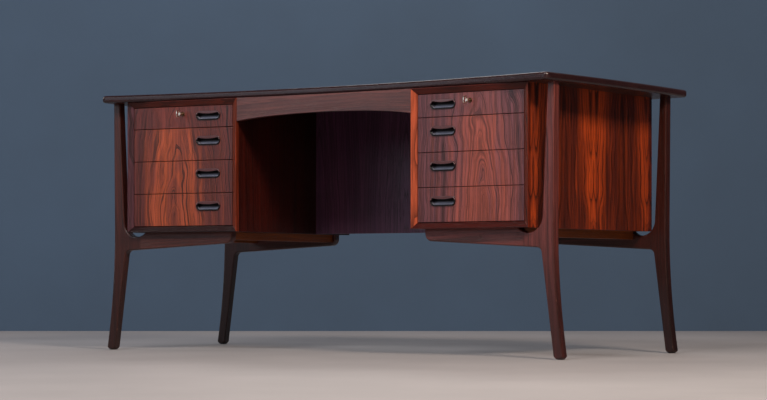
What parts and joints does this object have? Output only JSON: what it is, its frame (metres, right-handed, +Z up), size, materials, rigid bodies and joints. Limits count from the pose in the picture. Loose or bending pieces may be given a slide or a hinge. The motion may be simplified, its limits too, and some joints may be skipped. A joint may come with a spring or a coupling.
{
  "type": "kneehole writing desk",
  "caption": "Free-standing rosewood writing desk with a concave front, drawer pedestals with recessed black handles and locks, an arched kneehole and splayed legs.",
  "frame": {"origin": "on the floor under the middle of the tabletop's box", "axes": "+X along the desk to the sitter's right, -Y towards the sitter, +Z up"},
  "size_m": [1.5578, 0.7698, 0.725],
  "materials": {
    "rosewood_veneer": "satin lacquer on figured veneer",
    "solid_rosewood": "satin oil",
    "rail_wood": "stained, matt",
    "drawer_wood": "clear, matt",
    "black_handle": "gloss",
    "nickel_key": "worn nickel",
    "lock_brass": "worn",
    "screw_steel": "plain"
  },
  "bodies": {
    "desk_frame": {"tabletop_panel": "rosewood_veneer", "tabletop_lipping": "solid_rosewood", "kneehole_apron": "rosewood_veneer", "modesty_panel": "rosewood_veneer", "wood_screws": "screw_steel", "left_pedestal_outer_side": "rosewood_veneer", "left_pedestal_inner_side": "rosewood_veneer", "left_pedestal_top": "rosewood_veneer", "left_pedestal_bottom": "rosewood_veneer", "left_pedestal_back": "rosewood_veneer", "left_drawer_runners": "drawer_wood", "left_stretchers": "rail_wood", "front_left_leg": "solid_rosewood", "front_left_bearer": "solid_rosewood", "rear_left_leg": "solid_rosewood", "rear_left_bearer": "solid_rosewood", "right_pedestal_outer_side": "rosewood_veneer", "right_pedestal_inner_side": "rosewood_veneer", "right_pedestal_top": "rosewood_veneer", "right_pedestal_bottom": "rosewood_veneer", "right_pedestal_back": "rosewood_veneer", "right_drawer_runners": "drawer_wood", "right_stretchers": "rail_wood", "front_right_leg": "solid_rosewood", "front_right_bearer": "solid_rosewood", "rear_right_leg": "solid_rosewood", "rear_right_bearer": "solid_rosewood"},
    "left_drawer_1": {"left_drawer_1_front": "rosewood_veneer", "left_drawer_1_box": "drawer_wood", "left_drawer_1_handle": "black_handle", "left_lock_case": "lock_brass", "left_escutcheon": "lock_brass"},
    "left_drawer_2": {"left_drawer_2_front": "rosewood_veneer", "left_drawer_2_box": "drawer_wood", "left_drawer_2_handle": "black_handle"},
    "left_drawer_3": {"left_drawer_3_front": "rosewood_veneer", "left_drawer_3_box": "drawer_wood", "left_drawer_3_handle": "black_handle"},
    "left_drawer_4": {"left_drawer_4_front": "rosewood_veneer", "left_drawer_4_box": "drawer_wood", "left_drawer_4_handle": "black_handle"},
    "left_key": {"left_key": "nickel_key"},
    "left_lock_bolt": {"left_lock_bolt": "lock_brass"},
    "right_drawer_1": {"right_drawer_1_front": "rosewood_veneer", "right_drawer_1_box": "drawer_wood", "right_drawer_1_handle": "black_handle", "right_lock_case": "lock_brass", "right_escutcheon": "lock_brass"},
    "right_drawer_2": {"right_drawer_2_front": "rosewood_veneer", "right_drawer_2_box": "drawer_wood", "right_drawer_2_handle": "black_handle"},
    "right_drawer_3": {"right_drawer_3_front": "rosewood_veneer", "right_drawer_3_box": "drawer_wood", "right_drawer_3_handle": "black_handle"},
    "right_drawer_4": {"right_drawer_4_front": "rosewood_veneer", "right_drawer_4_box": "drawer_wood", "right_drawer_4_handle": "black_handle"},
    "right_key": {"right_key": "nickel_key"},
    "right_lock_bolt": {"right_lock_bolt": "lock_brass"}
  },
  "joints": [
    {"name": "left_drawer_1_slide", "type": "slide", "parent": "desk_frame", "child": "left_drawer_1", "axis": [0.0663, -0.9978, 0], "range_m": [0, 0.38]},
    {"name": "left_drawer_2_slide", "type": "slide", "parent": "desk_frame", "child": "left_drawer_2", "axis": [0.0663, -0.9978, 0], "range_m": [0, 0.38]},
    {"name": "left_drawer_3_slide", "type": "slide", "parent": "desk_frame", "child": "left_drawer_3", "axis": [0.0663, -0.9978, 0], "range_m": [0, 0.38]},
    {"name": "left_drawer_4_slide", "type": "slide", "parent": "desk_frame", "child": "left_drawer_4", "axis": [0.0663, -0.9978, 0], "range_m": [0, 0.38]},
    {"name": "left_key_turn", "type": "hinge", "parent": "left_drawer_1", "child": "left_key", "pos_m": [-0.4657, -0.33552, 0.6665], "axis": [0.0663, -0.9978, 0], "range_deg": [0, 180]},
    {"name": "left_bolt_rise", "type": "slide", "parent": "left_drawer_1", "child": "left_lock_bolt", "axis": [0, 0, 1], "range_m": [0, 0.007]},
    {"name": "right_drawer_1_slide", "type": "slide", "parent": "desk_frame", "child": "right_drawer_1", "axis": [-0.0663, -0.9978, 0], "range_m": [0, 0.38]},
    {"name": "right_drawer_2_slide", "type": "slide", "parent": "desk_frame", "child": "right_drawer_2", "axis": [-0.0663, -0.9978, 0], "range_m": [0, 0.38]},
    {"name": "right_drawer_3_slide", "type": "slide", "parent": "desk_frame", "child": "right_drawer_3", "axis": [-0.0663, -0.9978, 0], "range_m": [0, 0.38]},
    {"name": "right_drawer_4_slide", "type": "slide", "parent": "desk_frame", "child": "right_drawer_4", "axis": [-0.0663, -0.9978, 0], "range_m": [0, 0.38]},
    {"name": "right_key_turn", "type": "hinge", "parent": "right_drawer_1", "child": "right_key", "pos_m": [0.4657, -0.33552, 0.6665], "axis": [-0.0663, -0.9978, 0], "range_deg": [0, 180]},
    {"name": "right_bolt_rise", "type": "slide", "parent": "right_drawer_1", "child": "right_lock_bolt", "axis": [0, 0, 1], "range_m": [0, 0.007]}
  ],
  "couplings": [
    {"joint": "left_bolt_rise", "follows": "left_key_turn", "m_per_rad": 0.0022282},
    {"joint": "right_bolt_rise", "follows": "right_key_turn", "m_per_rad": 0.0022282}
  ]
}
